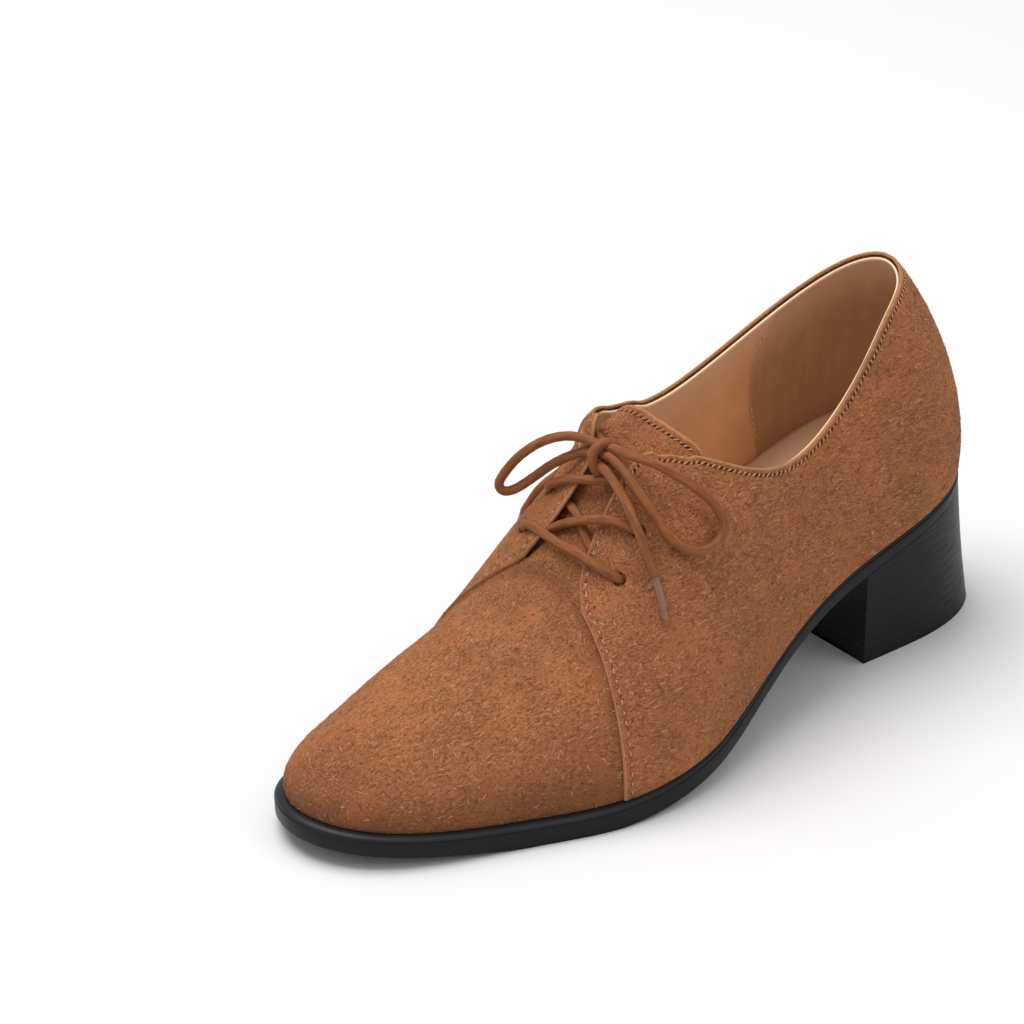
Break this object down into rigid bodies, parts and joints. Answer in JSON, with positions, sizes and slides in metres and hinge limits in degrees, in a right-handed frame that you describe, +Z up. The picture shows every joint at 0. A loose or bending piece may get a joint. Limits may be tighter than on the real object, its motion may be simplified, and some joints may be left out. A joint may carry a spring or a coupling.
{
  "type": "lace-up derby shoe on a block heel",
  "caption": "Women's suede derby shoe on a block heel, with open lacing tied in a bow, a low collar and an almond toe; left foot.",
  "frame": {"origin": "on the floor under the back of the line where upper and sole meet, in the middle of the heel's flat face", "axes": "+X towards the toe, +Y towards the outer side of this left shoe, +Z up"},
  "size_m": [0.2501, 0.0912, 0.1175],
  "materials": {
    "suede": "brown suede, short brushed nap, mottled",
    "lining": "smooth tan lining leather",
    "sole_edge": "black, satin",
    "heel_block": "black stacked leather, polished satin",
    "lace": "round brown waxed cord",
    "lace_tip": "smoky translucent film"
  },
  "bodies": {
    "root": {"upper": "suede", "tongue": "suede", "insole": "lining", "midsole": "sole_edge", "outsole": "sole_edge", "heel": "heel_block", "lace_bar_low": "lace", "lace_bar_high": "lace", "lace_bars_crossed": "lace", "lace_loop_outer": "lace", "lace_loop_inner": "lace", "lace_end_outer": "lace", "lace_end_inner": "lace", "lace_knot": "lace", "lace_tip_outer": "lace_tip", "lace_tip_inner": "lace_tip"}
  },
  "joints": []
}
